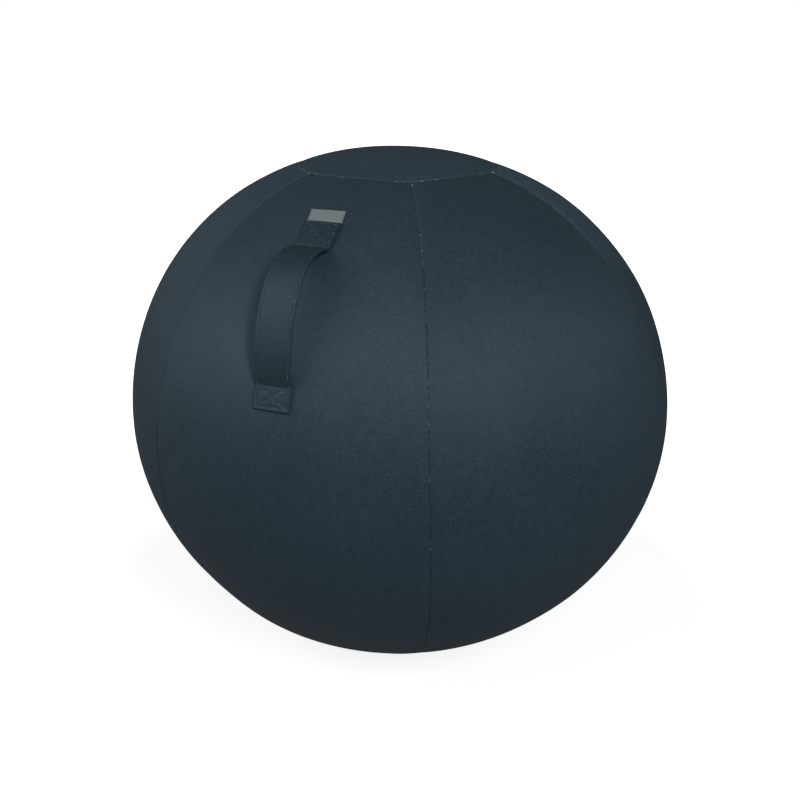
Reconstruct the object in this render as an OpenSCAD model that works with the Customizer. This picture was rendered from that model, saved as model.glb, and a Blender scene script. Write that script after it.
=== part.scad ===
// Sitting ball: a sewn fabric cover over an inflatable ball, with a carrying
// handle, a zip at the back of the base and a weight ring that keeps it upright.
// Millimetres. The origin is the middle of the base on the floor, +Z is up,
// and the side with the handle faces -Y. Azimuths turn from -Y towards +X.

/* [Ball] */
// Widest diameter of the filled cover
ball_d = 650; // [560:5:750]
// Height of the whole oval as a share of its width
flattening = 0.946; // [0.93:0.002:0.96]
// How far the centres of the side arcs stand off the axis, for each unit of flattening
side_shift = 1.37; // [1.3:0.01:1.45]
// How far the oval sinks into its base
sag = 7.5; // [6:0.5:9]
// Slope of the underside between the base and the oval
base_slope = 34.5; // [33:0.5:36]

/* [Cover] */
// Thickness of the cover fabric
cover_t = 1.6; // [1.2:0.1:2]
// Azimuth of the seam to the right of the handle
seam_az = 29; // [28:0.5:32]
// Radius of the round top panel
top_r = 116.5; // [100:0.5:130]
// Gap left along every seam
seam_gap = 0.4; // [0.2:0.1:0.8]
// Width of the seam allowance inside
allowance_w = 8; // [6:0.5:10]
// Thickness of the seam allowance inside
allowance_t = 1; // [0.6:0.1:1.4]

/* [Base] */
// Height of the grip dots under the base
dot_h = 1; // [0.8:0.1:1.6]
// Diameter of a grip dot
dot_d = 9; // [7:0.5:11]
// Distance between the rings of grip dots
dot_ring = 34; // [30:1:35]
// Number of rings of grip dots
dot_rings = 3; // [2:1:3]

/* [Weight ring] */
// Radius of the opening in the weight ring
ring_inner_r = 55; // [45:1:65]
// Height of the weight ring
ring_h = 14; // [12:0.5:15]
// Gap between the weight ring and the edge of the base
ring_gap = 2; // [1.5:0.5:6]
// Radius of the weight ring's rounded edges
ring_edge = 4; // [2:0.5:5]
// Thickness of the weight ring's casing
ring_wall = 1; // [0.8:0.1:1.5]

/* [Inner ball] */
// Wall of the inflatable ball
wall_t = 1.2; // [1:0.1:1.6]
// Room between the inflatable ball and the seams
ball_gap = 0.3; // [0.2:0.1:0.6]

/* [Valve] */
// Radius of the valve's bore
bore_r = 4.6; // [4:0.1:5.5]
// Radius of the valve seat's neck
neck_r = 8; // [7.5:0.1:9.5]
// Height of the neck inside the ball
neck_h = 9; // [7:0.5:10]
// Radius of the valve seat's flange
seat_r = 17; // [14:0.5:20]
// Thickness of the valve seat's flange
seat_t = 1; // [0.8:0.1:1.5]
// Radius of the plug's flange
plug_r = 12; // [10:0.5:13.5]
// Thickness of the plug's flange
plug_t = 1.6; // [1.2:0.1:2]
// Length of the plug's stem
stem_h = 9.6; // [8:0.2:10]
// Play between the plug's ribs and the bore
plug_play = 0.1; // [0.1:0.05:0.3]

/* [Zip] */
// Number of side panels that the zip runs along
zip_panels = 2; // [1:1:3]
// Distance up the slope from the base's flat edge to the middle of the zip
skirt_w = 38; // [34:1:40]
// Width of the opening that shows the zip
window_w = 13; // [13:0.5:16]
// Width of one zip tape
tape_w = 12; // [11:0.5:14]
// Thickness of the zip tapes
tape_t = 0.6; // [0.4:0.1:0.8]
// Distance from one tooth to the next in a row
tooth_pitch = 3.2; // [3:0.1:4.5]
// Reach of a tooth past the middle of the chain
tooth_head = 1.25; // [1.1:0.05:1.4]
// Reach of a tooth back over its tape
tooth_back = 2.8; // [2.6:0.1:3]
// Thickness of the teeth
tooth_t = 2.4; // [2:0.1:2.6]
// Play between a tooth and its neighbours
tooth_play = 0.15; // [0.1:0.05:0.25]
// Margin between the end of the zip's opening and its first stop
end_margin = 3; // [2:0.5:6]

/* [Slider] */
// Length of the slider
slider_l = 13; // [12:0.5:15]
// Thickness of the slider's two plates
plate_t = 1.1; // [0.9:0.1:1.3]
// Room between the slider's plates and the teeth
slider_play = 0.3; // [0.25:0.05:0.4]
// Radius of the bar that holds the puller
bar_r = 0.8; // [0.7:0.05:1]
// Length of the puller from its bar to its tip
puller_l = 18; // [12:0.5:19]
// Width of the puller at its tip
puller_w = 7; // [5.5:0.5:8]
// Thickness of the puller
puller_t = 1.4; // [1.2:0.1:1.8]

/* [Handle] */
// Azimuth of the middle of the handle
handle_az = 0; // [-2:0.5:2]
// Width of the handle strap
strap_w = 40; // [30:1:50]
// Thickness of the handle strap
strap_t = 3; // [2:0.2:4]
// Angle above the horizontal that the surface faces at the strap's upper end
handle_from = 56.7; // [54:0.1:60]
// Length of the sewn patch at the strap's upper end
top_patch = 36; // [30:1:40]
// Length of the sewn patch at the strap's lower end
low_patch = 26; // [20:1:36]
// Distance over the cover between the two sewn patches
grip_span = 144; // [130:1:156]
// Angle at which the strap leaves its upper patch
lift_top = 56; // [48:1:66]
// Angle at which the strap leaves its lower patch
lift_low = 35; // [28:1:42]
// How far the strap holds its upper angle
reach_top = 62; // [54:1:70]
// How far the strap holds its lower angle
reach_low = 40; // [34:1:50]
// Width of the label
label_w = 40; // [30:1:44]
// Height of the label
label_h = 18.5; // [14:0.5:20]
// Thickness of the label
label_t = 0.9; // [0.6:0.1:1.2]
// Width that the backing patches have beyond the strap on each side
backing_edge = 3; // [2:0.5:6]
// Thickness of the backing patches
backing_t = 0.7; // [0.5:0.1:0.9]

/* [Hidden] */
$fn = 120;
// Number of side panels, the gap between pieces that rest on each other, and the play of those that move
panels = 6;
touch = 0.1;
play = 0.2;
// Degrees from one point of an oval arc to the next
arc_step = 3;

// Colours of the fabrics, the plastics and the metal
cover_colour = "#3a4852";
base_colour = "#2b3238";
rubber_colour = "#1d2124";
ball_colour = "#8d979c";
casing_colour = "#25292c";
sand_colour = "#b59f78";
zip_colour = "#23282c";
metal_colour = "#8c8f92";
label_colour = "#787d80";
plug_colour = "#e4e5e2";

// The oval: two side arcs and two flatter arcs above and below, tangent to each other
half_w = ball_d / 2;
half_h = half_w * flattening;
squash = half_w - half_h;
side_c = side_shift * squash;
side_r = half_w - side_c;
cap_k = (pow(side_c, 2) - pow(half_h - side_r, 2)) / (2 * (half_h - side_r));
cap_r = half_h + cap_k;
side_to = 90 - atan(side_c / cap_k);
mid_z = half_h - sag;

// A point of the oval where its surface faces `a` degrees above the horizontal, moved in by `depth`
function oval_at(a, depth) =
    abs(a) < side_to
        ? [side_c + (side_r - depth) * cos(a), mid_z + (side_r - depth) * sin(a)]
        : [(cap_r - depth) * cos(a), mid_z - sign(a) * cap_k + (cap_r - depth) * sin(a)];
function oval_arc(a0, a1, depth) =
    let (n = max(1, ceil(abs(a1 - a0) / arc_step)))
    [for (i = [0 : n]) oval_at(a0 + (a1 - a0) * i / n, depth)];
// The angle of a distance along the side arcs
function side_angle(distance) = distance / side_r * 180 / PI;
function cap_angle(distance) = distance / cap_r * 180 / PI;

// The slope of the underside, from the oval down to the flat base
slope_a = base_slope - 90;
slope_top = oval_at(slope_a, 0);
flat_r = slope_top[0] - (slope_top[1] - dot_h) / tan(base_slope);
flat_in_r = flat_r - cover_t * tan(base_slope / 2);
zip_r = flat_r + skirt_w * cos(base_slope);
zip_z = dot_h + skirt_w * sin(base_slope);
// A point of the slope, `up` from the middle of the zip and `depth` under the surface
function slope_at(up, depth) = [
    zip_r + up * cos(base_slope) - depth * sin(base_slope),
    zip_z + up * sin(base_slope) + depth * cos(base_slope)
];

// Seams
panel_turn = 360 / panels;
top_a = acos(top_r / cap_r);
gap_a = cap_angle(seam_gap / 2);
gap_turn = seam_gap / half_w * 180 / PI;
allowance_turn = allowance_w / half_w * 180 / PI;
allowance_a = cap_angle(allowance_w);
tape_depth = cover_t + touch;
tape_gap = 2 * (tooth_head + tooth_play);
tape_out = tape_gap / 2 + tape_w;
allowance_end = tape_out + 1;

// The inner pieces stand on each other
base_top = dot_h + cover_t;
ring_z = base_top + touch;
ring_outer_r = flat_in_r - ring_gap;
ball_z = ring_z + ring_h + touch;
ball_inset = cover_t + allowance_t + ball_gap;
seat_z = ball_z - touch - seat_t;
plug_z = seat_z - touch - plug_t;

// Zip
mm_turn = 180 / (PI * zip_r);
zip_turn = zip_panels * panel_turn;
zip_length = zip_turn / mm_turn;
zip_start_az = seam_az + 180 - zip_turn / 2;
tape_mid = tape_depth + tape_t / 2;
stop_l = 2.6;
diamond_back = 0.9;
slider_y = end_margin + stop_l + 2 * play + slider_l / 2;
low_stop_y = zip_length - end_margin - stop_l;
first_tooth = slider_y + diamond_back;
tooth_root = tooth_pitch / 2 - tooth_play;
row_teeth = floor((low_stop_y - play - first_tooth - tooth_pitch / 2 - tooth_root) / tooth_pitch) + 1;
tooth_head_w = 0.54 * tooth_pitch;
tooth_neck_w = tooth_pitch - tooth_head_w - 2 * tooth_play;
tooth_body_w = tooth_pitch - 3 * tooth_play;
tooth_neck_to = tooth_head + tooth_play;
head_reach = 0.8;
head_corner = 0.3;

// Slider
chain_out = tooth_back + slider_play;
flange_w = 0.9;
mouth_room = 0.75;
mouth_in = tooth_back + tooth_head + mouth_room;
mouth_out = mouth_in + flange_w;
diamond_w = tape_gap / 2 - play;
plate_in_z = tape_mid + tooth_t / 2 + slider_play;
plate_out_z = tape_mid - tooth_t / 2 - slider_play - plate_t;
flange_slot = tape_t / 2 + 2 * play;
barrel_r = bar_r + play + 1;
bar_z = plate_out_z - barrel_r - slider_play;
barrel_w = 3;
post_w = 1;
post_l = 2.6;
slider_turn = (low_stop_y - 2 * play - slider_l / 2 - slider_y) * mm_turn;

// Handle
strap_rise = strap_t / 2 + play;
patch_end_a = handle_from - side_angle(top_patch);
low_start_a = patch_end_a - side_angle(grip_span);
low_end_a = low_start_a - side_angle(low_patch);
grip_steps = 20;
label_gap = 0.4;
label_low_a = handle_from + side_angle(label_gap);
label_top_a = label_low_a + side_angle(label_h);

module at_az(az) {
    rotate([0, 0, az - 90]) children();
}

// Lays a piece on the slope at a distance along the zip: x up the slope, y along it, z inwards
module at_zip(y) {
    at_az(zip_start_az + y * mm_turn)
    translate([zip_r, 0, zip_z])
    rotate([0, -base_slope, 0])
    children();
}

module turned(az0, az1, points) {
    at_az(az0) rotate_extrude(angle = az1 - az0) polygon(points);
}

// A straight cut out of the meridian at one azimuth, as wide as `width`
module across(az, width, points) {
    at_az(az) rotate([90, 0, 0]) linear_extrude(height = width, center = true) polygon(points);
}

module top_panel() {
    a0 = top_a + gap_a;
    a1 = a0 + allowance_a;
    color(cover_colour)
    rotate_extrude()
    polygon(concat(
        oval_arc(90, a0, 0),
        oval_arc(a0, a1, cover_t + allowance_t),
        oval_arc(a1, 90, cover_t)
    ));
}

// Panels along the zip end above its opening; the others reach down to the base panel
function panel_on_zip(i) = abs(i * panel_turn + panel_turn / 2 - 180) < zip_turn / 2;
function panel_edge(i) = panel_on_zip(i) ? window_w / 2 : seam_gap / 2;

function side_section(edge) =
    let (a0 = top_a - gap_a, a1 = a0 - allowance_a)
    concat(
        oval_arc(a0, slope_a, 0),
        [slope_at(edge, 0), slope_at(edge, cover_t)],
        oval_arc(slope_a, a1, cover_t),
        oval_arc(a1, a0, cover_t + allowance_t)
    );
function allowance_section() =
    let (a0 = top_a - gap_a - allowance_a / 2, lap = cover_t / 4)
    concat(
        oval_arc(a0, slope_a, cover_t - lap),
        [slope_at(allowance_end, cover_t - lap), slope_at(allowance_end, cover_t + allowance_t)],
        oval_arc(slope_a, a0, cover_t + allowance_t)
    );

module side_panel(i) {
    az0 = seam_az + i * panel_turn + gap_turn / 2;
    az1 = az0 + panel_turn - gap_turn;
    color(cover_colour)
    union() {
        turned(az0, az1, side_section(panel_edge(i)));
        turned(az0, az0 + allowance_turn, allowance_section());
        turned(az1 - allowance_turn, az1, allowance_section());
    }
}

function base_section(edge) = [
    [0, dot_h], [flat_r, dot_h], slope_at(edge, 0),
    slope_at(edge, cover_t), [flat_in_r, base_top], [0, base_top]
];

module base_panel() {
    reach = 3 * cover_t;
    color(base_colour)
    difference() {
        rotate_extrude() polygon(base_section(-seam_gap / 2));
        turned(zip_start_az, zip_start_az + zip_turn, [
            slope_at(-window_w / 2, -reach), slope_at(reach, -reach),
            slope_at(reach, reach), slope_at(-window_w / 2, reach)
        ]);
    }
}

module grip_dots() {
    color(rubber_colour)
    union() {
        cylinder(d = dot_d, h = dot_h);
        for (ring = [1 : dot_rings])
            for (i = [0 : 6 * ring - 1])
                rotate([0, 0, i * 60 / ring])
                translate([ring * dot_ring, 0, 0])
                cylinder(d = dot_d, h = dot_h);
    }
}

// A rectangle with round corners, from its two opposite corners
function round_corner(x, y, r, from) =
    [for (a = [from : 15 : from + 90]) [x + r * cos(a), y + r * sin(a)]];
function round_rect(x0, y0, x1, y1, r) = concat(
    round_corner(x1 - r, y1 - r, r, 0),
    round_corner(x0 + r, y1 - r, r, 90),
    round_corner(x0 + r, y0 + r, r, 180),
    round_corner(x1 - r, y0 + r, r, 270)
);
function ring_section(inset) = round_rect(
    ring_inner_r + inset, ring_z + inset,
    ring_outer_r - inset, ring_z + ring_h - inset,
    ring_edge - inset
);

module ring_casing() {
    color(casing_colour)
    rotate_extrude()
    difference() {
        polygon(ring_section(0));
        polygon(ring_section(ring_wall));
    }
}

module ring_filling() {
    color(sand_colour) rotate_extrude() polygon(ring_section(ring_wall + touch));
}

// The inflatable ball, flattened where it rests on the weight ring
function ball_low_a(inset) =
    asin((ball_z + inset - mid_z - cap_k) / (cap_r - ball_inset - inset));

module inner_ball() {
    hole_r = neck_r + touch;
    color(ball_colour)
    rotate_extrude()
    polygon(concat(
        [[hole_r, ball_z]],
        oval_arc(ball_low_a(0), 90, ball_inset),
        oval_arc(90, ball_low_a(wall_t), ball_inset + wall_t),
        [[hole_r, ball_z + wall_t]]
    ));
}

module valve_seat() {
    color(ball_colour)
    difference() {
        union() {
            translate([0, 0, seat_z]) cylinder(r = seat_r, h = seat_t);
            translate([0, 0, seat_z + seat_t / 2]) cylinder(r = neck_r, h = seat_t / 2 + neck_h);
        }
        translate([0, 0, seat_z - 1]) cylinder(r = bore_r, h = neck_h + seat_t + 2);
    }
}

module valve_plug() {
    rib_r = bore_r - plug_play;
    stem_r = rib_r - 0.6;
    rib_h = 1.6;
    base = plug_z + plug_t;
    color(plug_colour)
    union() {
        translate([0, 0, plug_z]) cylinder(r = plug_r, h = plug_t);
        translate([0, 0, plug_z + plug_t / 2]) cylinder(r = stem_r, h = stem_h + plug_t / 2);
        for (i = [0 : 2])
            translate([0, 0, base + stem_h * (0.2 + 0.27 * i)])
            rotate_extrude()
            polygon([[0, 0], [rib_r, 0], [rib_r, rib_h / 3], [stem_r - 0.2, rib_h], [0, rib_h]]);
    }
}

function tape_section(from, to) = [
    slope_at(from, tape_depth), slope_at(to, tape_depth),
    slope_at(to, tape_depth + tape_t), slope_at(from, tape_depth + tape_t)
];

module zip_tape(points) {
    tuck = (allowance_w + 2) * mm_turn;
    color(zip_colour)
    turned(zip_start_az - tuck, zip_start_az + zip_turn + tuck, points);
}

module zip_tape_upper() {
    zip_tape(tape_section(tape_gap / 2, tape_out));
}

module zip_tape_lower() {
    zip_tape(tape_section(-tape_out, -tape_gap / 2));
}

// One tooth, seen from outside: a broad root on the tape, a neck, and a head that locks
module tooth() {
    difference() {
        translate([0, 0, tape_mid - tooth_t / 2])
        linear_extrude(height = tooth_t)
        polygon([
            [tooth_back, tooth_body_w / 2], [tooth_neck_to, tooth_body_w / 2],
            [tooth_neck_to, tooth_neck_w / 2], [-tooth_head + head_reach, tooth_neck_w / 2],
            [-tooth_head + head_reach * 0.6, tooth_head_w / 2], [-tooth_head, tooth_head_w / 2 - head_corner],
            [-tooth_head, head_corner - tooth_head_w / 2], [-tooth_head + head_reach * 0.6, -tooth_head_w / 2],
            [-tooth_head + head_reach, -tooth_neck_w / 2], [tooth_neck_to, -tooth_neck_w / 2],
            [tooth_neck_to, -tooth_body_w / 2], [tooth_back, -tooth_body_w / 2]
        ]);
        translate([tape_gap / 2 - touch, -tooth_pitch, tape_depth - touch / 2])
        cube([tooth_back, 2 * tooth_pitch, tape_t + touch]);
    }
}

module zip_teeth_upper() {
    color(zip_colour)
    for (i = [0 : row_teeth - 1]) at_zip(first_tooth + i * tooth_pitch) tooth();
}

module zip_teeth_lower() {
    color(zip_colour)
    for (i = [0 : row_teeth - 1])
        at_zip(first_tooth + (i + 0.5) * tooth_pitch) mirror([1, 0, 0]) tooth();
}

// A stop clamps on the edge of a tape, on both of its faces
module end_stop(from, to) {
    difference() {
        translate([from, -stop_l / 2, tape_mid - tooth_t / 2])
        cube([to - from, stop_l, tooth_t]);
        for (side = [-1, 1])
            translate([side > 0 ? tape_gap / 2 - touch : touch - tape_gap / 2 - tape_w,
                -stop_l, tape_depth - touch / 2])
            cube([tape_w, 2 * stop_l, tape_t + touch]);
    }
}

module zip_end_stops() {
    color(metal_colour)
    union() {
        at_zip(end_margin + stop_l / 2) end_stop(tape_gap / 4, tooth_back);
        at_zip(end_margin + stop_l / 2) end_stop(-tooth_back, -tape_gap / 4);
        at_zip(low_stop_y + stop_l / 2) end_stop(-tooth_back, tooth_back);
    }
}

// The slider's outline, narrow over the closed chain and wide where the rows part
module slider_outline(rear, front) {
    polygon([
        [rear - 0.6, slider_l / 2], [rear, slider_l / 2 - 0.8], [rear, 0.5], [front, -slider_l * 0.27],
        [front, -slider_l * 0.4], [front - 0.8, -slider_l / 2], [0.8 - front, -slider_l / 2],
        [-front, -slider_l * 0.4], [-front, -slider_l * 0.27], [-rear, 0.5],
        [-rear, slider_l / 2 - 0.8], [0.6 - rear, slider_l / 2]
    ]);
}

module slider_channel() {
    polygon([
        [chain_out, slider_l], [chain_out, 0.5], [mouth_in, -slider_l * 0.27], [mouth_in, -slider_l],
        [-mouth_in, -slider_l], [-mouth_in, -slider_l * 0.27], [-chain_out, 0.5], [-chain_out, slider_l]
    ]);
}

module slider_flanges(from, to) {
    translate([0, 0, from])
    linear_extrude(height = to - from)
    difference() {
        slider_outline(chain_out + flange_w, mouth_out);
        slider_channel();
    }
}

module zip_slider() {
    lap = 0.1;
    color(metal_colour)
    at_zip(slider_y)
    union() {
        translate([0, 0, plate_out_z])
        linear_extrude(height = plate_t)
        slider_outline(chain_out + flange_w, mouth_out);
        translate([0, 0, plate_in_z])
        linear_extrude(height = plate_t)
        slider_outline(chain_out + flange_w, mouth_out);
        slider_flanges(plate_out_z + plate_t - lap, tape_mid - flange_slot);
        slider_flanges(tape_mid + flange_slot, plate_in_z + lap);
        translate([0, 0, plate_out_z + plate_t - lap])
        linear_extrude(height = plate_in_z - plate_out_z - plate_t + 2 * lap)
        polygon([[0, -1.1], [diamond_w, -slider_l * 0.3], [0, 0.4 - slider_l / 2], [-diamond_w, -slider_l * 0.3]]);
        for (side = [-1, 1])
            translate([side * (barrel_w / 2 + play + post_w / 2) - post_w / 2, -post_l / 2, bar_z - bar_r])
            cube([post_w, post_l, plate_out_z - bar_z + bar_r + lap]);
        translate([-barrel_w / 2 - play - lap, 0, bar_z])
        rotate([0, 90, 0])
        cylinder(r = bar_r, h = barrel_w + 2 * (play + lap), $fn = 48);
    }
}

module zip_puller() {
    blade = puller_l - puller_w / 2;
    color(metal_colour)
    at_zip(slider_y)
    translate([0, 0, bar_z])
    difference() {
        union() {
            translate([-barrel_w / 2, 0, 0])
            rotate([0, 90, 0])
            cylinder(r = barrel_r, h = barrel_w, $fn = 48);
            translate([0, puller_t / 2, 0])
            rotate([90, 0, 0])
            linear_extrude(height = puller_t)
            union() {
                translate([0, -blade]) circle(d = puller_w, $fn = 64);
                polygon([
                    [barrel_w / 2, 0], [barrel_w / 2, -4], [puller_w / 2, -7], [puller_w / 2, -blade],
                    [-puller_w / 2, -blade], [-puller_w / 2, -7], [-barrel_w / 2, -4], [-barrel_w / 2, 0]
                ]);
            }
        }
        translate([-barrel_w, 0, 0])
        rotate([0, 90, 0])
        cylinder(r = bar_r + play, h = 2 * barrel_w, $fn = 48);
        translate([0, puller_t, -blade])
        rotate([90, 0, 0])
        cylinder(d = puller_w * 0.5, h = 2 * puller_t, $fn = 48);
    }
}

// The strap's middle line: along the upper patch, in one free curve, and along the lower patch
function unit(v) = v / norm(v);
function turn_by(v, a) = [v[0] * cos(a) - v[1] * sin(a), v[0] * sin(a) + v[1] * cos(a)];
function bezier(p, t) =
    pow(1 - t, 3) * p[0] + 3 * pow(1 - t, 2) * t * p[1] + 3 * (1 - t) * t * t * p[2] + pow(t, 3) * p[3];
function grip_ends() =
    let (
        p0 = oval_at(patch_end_a, -strap_rise),
        p3 = oval_at(low_start_a, -strap_rise),
        down = [sin(patch_end_a), -cos(patch_end_a)],
        up = [-sin(low_start_a), cos(low_start_a)]
    )
    [p0, p0 + reach_top * turn_by(down, lift_top), p3 + reach_low * turn_by(up, -lift_low), p3];
function strap_path() = concat(
    oval_arc(handle_from, patch_end_a, -strap_rise),
    [for (i = [1 : grip_steps - 1]) bezier(grip_ends(), i / grip_steps)],
    oval_arc(low_start_a, low_end_a, -strap_rise)
);

// A path moved sideways, with its corners mitred
function path_along(p, i) = unit(p[min(i + 1, len(p) - 1)] - p[min(i, len(p) - 2)]);
function path_side(p, i) =
    let (
        before = path_along(p, max(i - 1, 0)),
        after = path_along(p, i),
        middle = unit(before + after)
    )
    [middle[1], -middle[0]] / (middle * after);
function moved(p, by) = [for (i = [0 : len(p) - 1]) p[i] + by * path_side(p, i)];
function reversed(p) = [for (i = [len(p) - 1 : -1 : 0]) p[i]];

module handle_strap() {
    path = strap_path();
    color(cover_colour)
    across(handle_az, strap_w, concat(moved(path, strap_t / 2), reversed(moved(path, -strap_t / 2))));
}

module handle_label() {
    color(label_colour)
    across(handle_az, label_w, concat(
        oval_arc(label_top_a, label_low_a, -play - label_t),
        oval_arc(label_low_a, label_top_a, -play)
    ));
}

module backing_patch(from, to) {
    depth = cover_t + play;
    half_turn = (strap_w / 2 + backing_edge) / oval_at((from + to) / 2, 0)[0] * 180 / PI;
    turned(handle_az - half_turn, handle_az + half_turn, concat(
        oval_arc(from, to, depth), oval_arc(to, from, depth + backing_t)
    ));
}

module handle_backing() {
    edge_a = side_angle(backing_edge);
    color(cover_colour)
    union() {
        backing_patch(handle_from + edge_a, patch_end_a - edge_a);
        backing_patch(low_start_a + edge_a, low_end_a - edge_a);
    }
}

top_panel();
side_panel(0);  // side_panel_1
side_panel(1);  // side_panel_2
side_panel(2);  // side_panel_3
side_panel(3);  // side_panel_4
side_panel(4);  // side_panel_5
side_panel(5);  // side_panel_6
base_panel();
grip_dots();
ring_casing();
ring_filling();
inner_ball();
valve_seat();
valve_plug();
zip_tape_upper();
zip_tape_lower();
zip_teeth_upper();
zip_teeth_lower();
zip_end_stops();
zip_slider();
zip_puller();
handle_strap();
handle_label();
handle_backing();
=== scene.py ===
"""A sitting ball: an inflatable ball in a sewn fabric cover with a carrying handle and a zip."""
import math
import bpy
from mathutils import Matrix, Vector, noise


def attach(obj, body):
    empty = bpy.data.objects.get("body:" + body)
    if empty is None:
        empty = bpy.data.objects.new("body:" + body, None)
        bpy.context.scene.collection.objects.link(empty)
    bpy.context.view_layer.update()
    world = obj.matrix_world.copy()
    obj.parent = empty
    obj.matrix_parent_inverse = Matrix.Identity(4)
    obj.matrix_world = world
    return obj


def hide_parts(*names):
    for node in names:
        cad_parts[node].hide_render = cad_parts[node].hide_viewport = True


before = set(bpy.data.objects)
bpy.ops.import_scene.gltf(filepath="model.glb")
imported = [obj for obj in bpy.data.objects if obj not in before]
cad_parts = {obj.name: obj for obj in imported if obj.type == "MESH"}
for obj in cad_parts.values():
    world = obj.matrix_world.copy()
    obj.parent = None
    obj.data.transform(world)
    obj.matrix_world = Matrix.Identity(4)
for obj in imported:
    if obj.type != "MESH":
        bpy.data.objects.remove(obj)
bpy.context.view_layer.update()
scene = bpy.context.scene
deg = math.radians

# The cover's outline, in metres and radians
BALL_D = 0.650
FLATTENING = 0.946
SIDE_SHIFT = 1.37
SAG = 0.0075
BASE_SLOPE = deg(34.5)
DOT_H = 0.001
SKIRT_W = 0.038
FOLD_SOFT = 0.005

# The cover's fabric and its seams
COVER_T = 0.0016
PANELS = 6
SEAM_AZ = deg(29)
TOP_R = 0.1165
ALLOWANCE_W = 0.008
ALLOWANCE_T = 0.001
SEAM_TURN_R = 0.0011
SEAM_DIP = 0.0006
SEAM_DIP_W = 0.008
SEAM_CLEAR = 0.00002
DRAWN_W = 0.05
GATHER = 0.00055
GATHER_PITCH = 0.010
RIB_PITCH = 0.0008

# How far the filled cover swells: all over, and at humps given by azimuth, rise and height
SWELL = 0.0007
SWELL_PITCH = 0.11
HUMPS = ((deg(-89), deg(46), 0.0030), (deg(95), deg(-18), 0.0026), (deg(-44), deg(-46), -0.0040),
         (deg(180), deg(74), -0.0024), (deg(150), deg(46), -0.0014))
HUMP_SPREAD = 0.10

# How each side seam strays: its middle, its reach, where the reach is greatest, and the pitch
WANDER = ((0.0003, 0.0025, 0.190, 0.50), (-0.0040, 0.0025, 0.480, 0.60), (0.0, 0.0020, 0.260, 0.55),
          (0.0005, 0.0018, 0.400, 0.50), (-0.0004, 0.0022, 0.310, 0.60), (-0.0003, 0.0055, 0.470, 0.60))

WANDER_FADE_FROM = 0.14
WANDER_FADE_TO = 0.04

# How far each side seam pulls the top seam outwards, over which angle, and how far down it shows
TOP_PULLS = (0.0056, 0.0004, 0.0018, 0.0010, 0.0024, 0.0003)
TOP_PULL_SPREAD = deg(15)
TOP_PULL_DOWN = 0.10
TOP_GRAIN = deg(114)

# Numbers that tell the gathers of the top and base seam from those of the side seams
TOP_SEAM = 20
BASE_SEAM = 30

# Mesh of the cloth: distances near an edge, then the pitch or the number of steps between
EDGE_STEPS = (SEAM_CLEAR, 0.00012, 0.0003, 0.0006, 0.0010, 0.0016, 0.0026, 0.004, 0.006, 0.009, 0.013)
ROW_PITCH = 0.003
TOP_ROW_PITCH = 0.006
SIDE_COLUMNS = 26
TOP_COLUMNS = 252
BASE_COLUMNS = 480

# The zip
ZIP_PANELS = (2, 3)
WINDOW_W = 0.013
WINDOW_CORNER_R = 0.003
TAPE_W = 0.012
TAPE_T = 0.0006
TAPE_GAP = 0.0028
TAPE_CORD = 0.0004
TAPE_DEPTH = COVER_T + 0.0001
TAPE_TUCK = 0.010
FOLD_STITCH_IN = 0.0028

# The weight ring and the inflatable ball
RING_INNER_R = 0.055
RING_H = 0.014
RING_GAP = 0.002
RING_EDGE = 0.004
RING_WALL = 0.001
RING_DENTS = 0.0005
BALL_DEPTH = COVER_T + ALLOWANCE_T + 0.0003
BALL_WALL = 0.0012
NECK_R = 0.008
PLUG_CLEAR = 0.010
TOUCH = 0.0001

# The handle
STRAP_W = 0.040
STRAP_T = 0.003
STRAP_PLAY = 0.0002
STRAP_EDGE_R = 0.0012
STRAP_CUT = 0.0001
STRAP_CROWN = 0.0005
STRAP_LOFT = 0.00012
HANDLE_FROM = deg(56.7)
TOP_PATCH = 0.036
LOW_PATCH = 0.026
GRIP_SPAN = 0.144
LIFT_TOP = deg(56)
LIFT_LOW = deg(35)
REACH_TOP = 0.062
REACH_LOW = 0.040
EDGE_STITCH_IN = 0.003
END_STITCH_IN = 0.0035
BOX_STITCH_IN = 0.002
HEM_PRESS = 0.0006
BOX_PRESS = 0.00036
PRESS_SPREAD = 0.0013
LABEL_W = 0.040
LABEL_H = 0.0185
LABEL_T = 0.0009
LABEL_GAP = 0.0004
LABEL_SHEAR = 0.14
LABEL_CURL = 0.0006
BACKING_EDGE = 0.003
BACKING_T = 0.0007

# Sewing thread: its radius, how deep it lies, and how far down the lighter top thread is used, which is the
# same thread painted lighter: painted highlight
THREAD_R = 0.00030
TOP_THREAD_R = 0.00040
SUNK_THREAD = 0.0008
PROUD_THREAD = 0.0005
UPPER_SEAM = 0.13
SIDE_LINE_STEPS = 240
RING_LINE_STEPS = 300
FOLD_LINE_STEPS = 160

# The oval: two side arcs and two flatter arcs above and below, tangent to each other
half_w = BALL_D / 2
half_h = half_w * FLATTENING
side_c = SIDE_SHIFT * (half_w - half_h)
side_r = half_w - side_c
cap_k = (side_c ** 2 - (half_h - side_r) ** 2) / (2 * (half_h - side_r))
cap_r = half_h + cap_k
side_to = math.pi / 2 - math.atan(side_c / cap_k)
mid_z = half_h - SAG
slope_a = BASE_SLOPE - math.pi / 2
turn = 2 * math.pi / PANELS


def oval(angle, depth=0.0):
    """Radius and height where the cover faces `angle` above the horizontal, moved in by `depth`."""
    if abs(angle) < side_to:
        return side_c + (side_r - depth) * math.cos(angle), mid_z + (side_r - depth) * math.sin(angle)
    lift = mid_z - math.copysign(cap_k, angle)
    return (cap_r - depth) * math.cos(angle), lift + (cap_r - depth) * math.sin(angle)


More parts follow.
